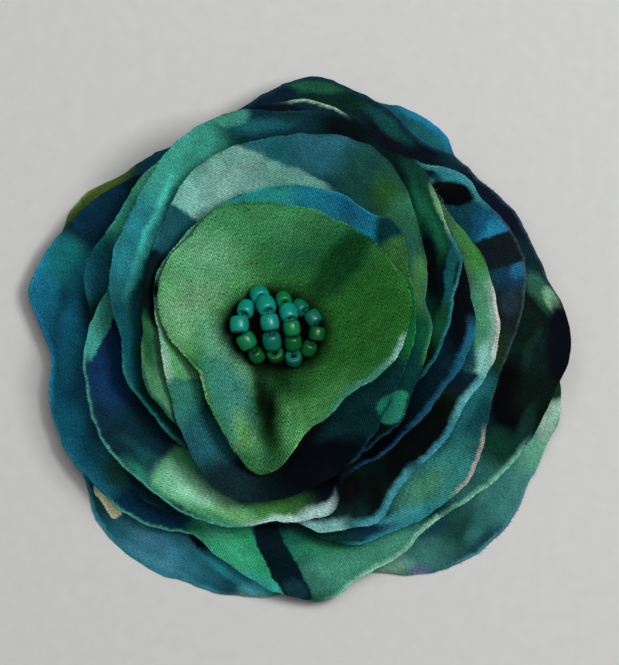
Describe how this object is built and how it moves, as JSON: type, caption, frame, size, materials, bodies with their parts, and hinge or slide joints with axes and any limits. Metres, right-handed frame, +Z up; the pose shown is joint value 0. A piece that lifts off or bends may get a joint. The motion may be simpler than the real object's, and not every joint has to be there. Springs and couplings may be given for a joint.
{
  "type": "flower brooch",
  "caption": "Round flower brooch of layered, cupped, singed satin discs with glass seed beads sewn over the middle and a bar pin behind.",
  "frame": {"origin": "middle of the outline, on the table that the brooch lies on", "axes": "+X across the bloom along its longest side, +Z up through the stack of discs towards the beads"},
  "size_m": [0.0998, 0.0964, 0.0302],
  "materials": {
    "satin_1": "satin",
    "satin_2": "satin",
    "satin_3": "satin",
    "satin_4": "satin",
    "satin_5": "satin",
    "satin_6": "satin",
    "satin_7": "satin",
    "satin_8": "satin",
    "satin_9": "satin",
    "bead_teal": "gloss",
    "bead_green": "gloss",
    "thread": "matte",
    "felt": "matte",
    "steel": "satin"
  },
  "bodies": {
    "root": {"petal_1": "satin_1", "petal_2": "satin_2", "petal_3": "satin_3", "petal_4": "satin_4", "petal_5": "satin_5", "petal_6": "satin_6", "petal_7": "satin_7", "petal_8": "satin_8", "petal_9": "satin_9", "bead_01": "bead_teal", "bead_02": "bead_teal", "bead_03": "bead_green", "bead_04": "bead_green", "bead_05": "bead_teal", "bead_06": "bead_teal", "bead_07": "bead_teal", "bead_08": "bead_teal", "bead_09": "bead_green", "bead_10": "bead_green", "bead_11": "bead_teal", "bead_12": "bead_green", "bead_13": "bead_green", "bead_14": "bead_teal", "bead_15": "bead_teal", "bead_16": "bead_teal", "bead_17": "bead_green", "bead_18": "bead_green", "thread_1": "thread", "thread_2": "thread", "thread_3": "thread", "thread_4": "thread", "centre_stitch": "thread", "backing": "felt", "brooch_pin": "steel"}
  },
  "joints": []
}
